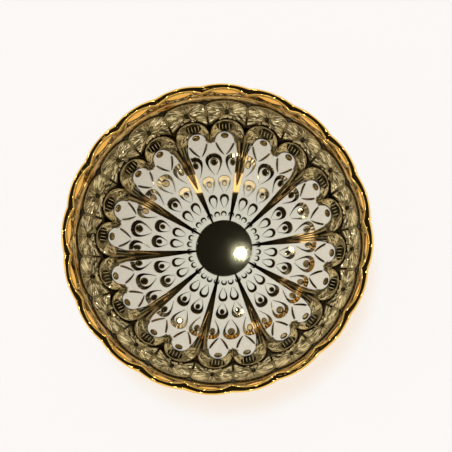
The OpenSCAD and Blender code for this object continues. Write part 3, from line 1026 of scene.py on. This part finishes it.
def addFan(flat, shape, middle, half, rng):
    for i in range(shape["count"]):
        offset = (2 * i + 1) / shape["count"] - 1
        low = shape["low"] + rng.uniform(0, shape["lowVary"])
        high = shape["high"] - fan["drop"] * abs(offset) - rng.uniform(0, shape["highVary"])
        path = []
        for share in spread(0, 1, shape["steps"]):
            t = mixed(low, high, share)
            path.append((t, middle + offset * half(t, share)))
        addRidge(flat, path, fan["width"], goldTop, fan["rise"] * rng.uniform(*fan["riseVary"]),
                 crest=rng.uniform(*fan["crest"]), tone=rng.choice(fan["tones"]))


def makeWedges():
    rng = random.Random(barb["seed"] + 1)
    quills, barbs = newFlat(), newFlat()
    for offset, tone in wedge["quills"]:  # quills that start from one point and follow the wedge outwards
        path = []
        for t in spread(wedge["low"], wedge["high"], wedge["steps"]):
            parted = min(1, (t - wedge["low"]) / wedge["openBy"]) ** wedge["bend"]
            path.append((t, columnPitch + offset * parted * wedgeHalf(t)))
        addRidge(quills, path, wedge["width"], goldTop, wedge["height"], crest=offset * wedge["lean"],
                 tone=tone)
    addFan(barbs, fan["long"], columnPitch, longHalf, rng)
    addFan(barbs, fan["short"], 0, shortHalf, rng)
    drapePiece("wedgeQuills", quills, quillGold, smooth=False)
    drapePiece("wedgeBarbs", barbs, barbGold, smooth=False)


# Polished ovals above the tips, each with a few upright bars; the ovals are painted near black, a painted
# dark reflection, and the bars pale
comb = {
    "at": 56.2, "rise": 3.1, "half": 3.9, "height": 0.42 * mm, "bars": 4, "barPitch": 1.6,
    "barBase": 0.22 * mm, "barWidth": 0.36 * mm, "barHeight": 0.35 * mm, "barRise": 2.0,
    "barSteps": 4, "barTone": 1.0,
}


def makeCombs():
    ovals, bars = newFlat(), newFlat()
    for side in (-1, 1):
        middle = side * rowPlace(tipRow)
        addDome(ovals, comb["at"], middle, comb["rise"], comb["half"], scaleTop, comb["height"])
        for i in range(comb["bars"]):
            phi = middle + (i - (comb["bars"] - 1) / 2) * comb["barPitch"]
            path = [(comb["at"] + share * comb["barRise"], phi) for share in spread(-1, 1, comb["barSteps"])]
            addRidge(bars, path, comb["barWidth"], scaleTop + comb["barBase"], comb["barHeight"],
                     tone=comb["barTone"])
    drapePiece("scaleCombs", ovals, combGold)
    drapePiece("combBars", bars, barbGold, smooth=False)


makeCombs()
makeBarbs()
makeWedges()
print("pieces made")

# Camera, at the photograph's viewing angle
view = {
    "image": 452, "rimCentre": (216.5, 238.0), "rimPixels": 155.75, "distance": 0.7,
    "tilt": 6.7, "towards": -77.5, "upwards": 66.2, "sensor": 36.0, "clip": (0.01, 20),
}
straightUp = Vector((0, 0, 1))


def around(angle):
    return Vector((cosine(angle), sine(angle), 0))


def leaning(way, angle):  # straight up, leaned over to one side
    return way * sine(angle) + straightUp * cosine(angle)


rimMiddle = straightUp * (lipTop - rim["lip"] / 2)
back = leaning(around(view["towards"]), view["tilt"])
focal = view["rimPixels"] * view["distance"] / (outerRadius - rim["scallopOut"] / 2)


def makeCamera():
    eyePlace = rimMiddle + back * view["distance"]
    upwards = around(view["upwards"])
    upwards = (upwards - back * upwards.dot(back)).normalized()
    right = upwards.cross(back)
    half = view["image"] / 2
    aim = (rimMiddle + right * (half - view["rimCentre"][0]) / focal * view["distance"]
           + upwards * (view["rimCentre"][1] - half) / focal * view["distance"])
    out = (eyePlace - aim).normalized()
    side = upwards.cross(out).normalized()
    top = out.cross(side)
    data = bpy.data.cameras.new("photoCamera")
    data.sensor_width = view["sensor"]
    data.lens = focal / view["image"] * view["sensor"]
    data.clip_start, data.clip_end = view["clip"]
    camera = addToScene("photoCamera", data)
    camera.matrix_world = Matrix.Translation(eyePlace) @ Matrix((side, top, out)).transposed().to_4x4()
    bpy.context.scene.camera = camera
    return eyePlace, right, upwards


cameraPlace, pictureRight, pictureUp = makeCamera()

# Floor, lamps and world
floor = {
    "size": 12.0, "pale": (0.325, 0.325, 0.325), "deep": (0.315, 0.315, 0.315), "cloudScale": 3.0,
    "roughness": 0.9, "shown": (0.984, 0.947, 0.907), "shownShare": 0.7,
}
keyLamp = {"spot": (17.8, 5.5), "strength": 0.4, "angle": 3.0, "colour": (1.0, 0.985, 0.96)}
shadowLamp = {"lean": 7, "aside": 8, "strength": 6.1, "angle": 9, "colour": (0.2, 0.58, 1.0)}
warmLamp = {"strength": 4.8, "colour": (1.0, 0.5, 0.02)}
fillLamp = {"lean": 30, "aside": 25, "strength": 2.95, "angle": 140, "colour": (1.0, 0.985, 0.965)}
card = {"lean": 40, "distance": 0.5, "size": (0.62, 0.13), "radiance": 1.25, "colour": (1.0, 0.97, 0.93)}
rimGlow = {"height": lipTop, "energy": 0.1, "size": 5 * mm}
crestLamp = {"distance": 0.7, "size": 0.016, "radiance": 9.0}
glint = {"count": 17, "leans": (74, 52, 64), "distance": 0.7, "size": 0.03, "radiance": 30.0}
sky = {
    "pale": (0.98, 0.965, 0.94), "dark": (0.016, 0.015, 0.013), "paleTo": 0.2, "darkFrom": 0.45,
    "patch": (1.6, 1.5, 1.34), "patchScale": 3.2, "patchDetail": 1.0, "patchEdge": (0.56, 0.62),
    "patchBand": (0.2, 0.32, 0.52, 0.64),
}


def makeFloor():
    material, shader, place = newMaterial("paleFloor")
    feed(shader, {"Base Color": cloudColour(place, floor), "Roughness": floor["roughness"],
                  "Specular IOR Level": 0.0})
    # most of what the camera and the gold see of it is its own pale colour, so its shadow stays faint
    tree = material.node_tree
    path = addNode(tree, "ShaderNodeLightPath").outputs
    seen = mathNode("MAXIMUM", path["Is Camera Ray"],
                    mathNode("MAXIMUM", path["Is Glossy Ray"], path["Is Transmission Ray"]))
    glow = addNode(tree, "ShaderNodeEmission", {"Color": (*floor["shown"], 1)})
    mix = addNode(tree, "ShaderNodeMixShader", {
        0: mathNode("MULTIPLY", seen, floor["shownShare"]), 1: shader.outputs[0], 2: glow.outputs[0]})
    feed(tree.nodes["Material Output"], {"Surface": mix.outputs[0]})
    half = floor["size"] / 2
    mesh = bpy.data.meshes.new("paleFloor")
    corners = [(-half, -half, 0), (half, -half, 0), (half, half, 0), (-half, half, 0)]
    mesh.from_pydata(corners, [], [(0, 1, 2, 3)])
    mesh.materials.append(material)
    plane = addToScene("paleFloor", mesh)


def addLamp(name, kind, towards, place=None, group=None, **settings):
    data = bpy.data.lights.new(name, kind)
    for key, value in settings.items():
        setattr(data, key, value)
    lamp = addToScene(name, data)
    lamp.rotation_mode = "QUATERNION"
    lamp.rotation_quaternion = towards.to_track_quat("Z", "Y")
    lamp.location = place or towards
    lamp.visible_camera = False
    lamp.light_linking.receiver_collection = group
    return lamp


def addSun(name, towards, look, group=None):
    return addLamp(name, "SUN", towards, group=group, energy=look["strength"], angle=look["angle"] * deg,
                   color=look["colour"])


def addDisk(name, towards, look, group=None):
    return addLamp(name, "AREA", towards, rimMiddle + towards * look["distance"], group, shape="DISK",
                   size=look["size"], energy=look["radiance"] * (math.pi * look["size"] / 2) ** 2)


def farWay(look):  # leaned over to the picture's far side, and some way to its left
    farSide = pictureUp * cosine(look["aside"]) - pictureRight * sine(look["aside"])
    return leaning(farSide, look["lean"])


def keyWay():  # from where the centre mirror throws a lamp at the camera
    pixel = view["distance"] / focal
    offset = (pictureRight * keyLamp["spot"][0] - pictureUp * keyLamp["spot"][1]) * pixel
    offset.z = 0
    t = offset.length / wallRadius / deg
    step = 0.05
    a, b = (wallPoint(x, mirrorHeight(x)) for x in (t - step, t + step))
    slope = (b[1] - a[1]) / (b[0] - a[0])
    normal = (straightUp - offset.normalized() * slope).normalized()
    spot = offset + straightUp * wallPoint(t, mirrorHeight(t))[1]
    seen = (cameraPlace - spot).normalized()
    return 2 * normal.dot(seen) * normal - seen


def lightGroup(name, piece, state="INCLUDE"):  # for lamps that light one piece only, or all but one
    group = bpy.data.collections.new(name)
    group.objects.link(bpy.data.objects[piece])
    group.collection_objects[0].light_linking.link_state = state
    return group


def makeLights():
    addSun("keyLamp", keyWay(), keyLamp, lightGroup("mirrorOnly", "centreMirror"))
    # a wide soft fill from the far side, left out of reflections
    addSun("softFill", farWay(fillLamp), fillLamp).visible_glossy = False
    # a cool sun on the floor only, so that the bowl's shadow on it is warm
    floorOnly = lightGroup("floorOnly", "paleFloor")
    addSun("floorSun", farWay(shadowLamp), shadowLamp, floorOnly)
    # and a warm one without shadow, so that the floor throws white light back on the bowl
    addLamp("floorWarmth", "SUN", straightUp, group=floorOnly, energy=warmLamp["strength"],
            color=warmLamp["colour"], use_shadow=False)
    # a low pale card on the near side, for the warm glow on the far panels but not on the lip
    down = -pictureUp
    down.z = 0
    cardWay = leaning(down.normalized(), card["lean"])
    width, height = card["size"]
    addLamp("paleCard", "AREA", cardWay, rimMiddle + cardWay * card["distance"],
            lightGroup("notRim", "giltRim", "EXCLUDE"), shape="RECTANGLE", size=width, size_y=height,
            energy=card["radiance"] * math.pi * width * height, color=card["colour"])
    # a soft lamp in the mouth of the bowl, on the rim only, that lights the painted glow patches under the
    # lip
    rimOnly = lightGroup("rimOnly", "giltRim")
    glow = addLamp("rimGlow", "POINT", straightUp, straightUp * rimGlow["height"], rimOnly,
                   energy=rimGlow["energy"], shadow_soft_size=rimGlow["size"])
    glow.visible_glossy = False
    # a lamp overhead that draws the thin bright line along the lip
    addDisk("crestLamp", straightUp, crestLamp, rimOnly)
    # small lamps all round, for sparkle on the gold only
    for i in range(glint["count"]):
        lean = glint["leans"][i % len(glint["leans"])]
        lampWay = leaning(around(360 * i / glint["count"]), lean)
        addDisk("glintLamp%d" % i, lampWay, glint).visible_diffuse = False


def makeWorld():
    world = bpy.data.worlds.new("studio")
    bpy.context.scene.world = world
    world.use_nodes = True
    tree = world.node_tree
    way = addNode(tree, "ShaderNodeTexCoord").outputs["Generated"]
    height = splitPlace(way)[2]
    share = rangeNode(height, 0, 1, sky["paleTo"], sky["darkFrom"])
    plain = rampNode(share, [(0.0, sky["pale"]), (1.0, sky["dark"])])
    # a few soft pale patches round the room, none of them overhead
    cloud = noiseNode(way, sky["patchScale"], sky["patchDetail"])
    band = mathNode("MULTIPLY", rangeNode(height, 0, 1, *sky["patchBand"][:2]),
                    rangeNode(height, 1, 0, *sky["patchBand"][2:]))
    patches = mathNode("MULTIPLY", rangeNode(cloud, 0, 1, *sky["patchEdge"]), band)
    feed(tree.nodes["Background"], {"Color": mixNode(patches, plain, (*sky["patch"], 1))})


makeFloor()
makeLights()
makeWorld()
bpy.context.scene.view_settings.view_transform = "Standard"
print("camera, floor and light set")
